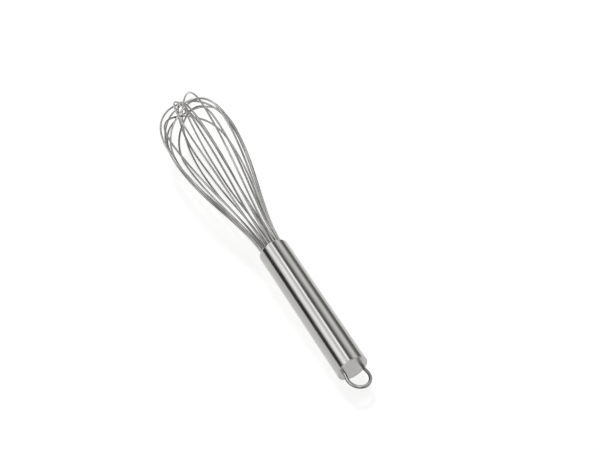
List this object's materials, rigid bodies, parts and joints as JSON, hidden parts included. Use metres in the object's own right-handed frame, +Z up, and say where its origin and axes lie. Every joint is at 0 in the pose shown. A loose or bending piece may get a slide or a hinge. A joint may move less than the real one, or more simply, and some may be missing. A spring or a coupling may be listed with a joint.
{
  "type": "balloon whisk",
  "caption": "Balloon whisk: bent wire loops set in a stainless tube handle, with a rear cap and a wire hanging loop.",
  "frame": {"origin": "bottom centre of the whole whisk's box as it lies on a flat surface", "axes": "+X from the handle towards the cage's tip, in plan; +Z up; the whisk's own axis rises towards the cage by 4.07 degrees"},
  "size_m": [0.3036, 0.058, 0.0565],
  "materials": {
    "handle_steel": "brushed along the tube's length, satin",
    "cap_steel": "fine satin, lightly polished",
    "wire_steel": "bright drawn spring wire, lightly polished",
    "hanger_steel": "bright drawn wire",
    "holder_plastic": "moulded, matt grey",
    "resin": "cast, dull",
    "backing_steel": "blanked sheet, plain"
  },
  "bodies": {
    "root": {"handle_tube": "handle_steel", "rear_cap": "cap_steel", "hanging_loop": "hanger_steel", "wire_holder": "holder_plastic", "sealing_resin": "resin", "backing_disc": "backing_steel", "wire_loop_01": "wire_steel", "wire_loop_02": "wire_steel", "wire_loop_03": "wire_steel", "wire_loop_04": "wire_steel", "wire_loop_05": "wire_steel", "wire_loop_06": "wire_steel", "wire_loop_07": "wire_steel", "wire_loop_08": "wire_steel", "wire_loop_09": "wire_steel", "wire_loop_10": "wire_steel"}
  },
  "joints": []
}
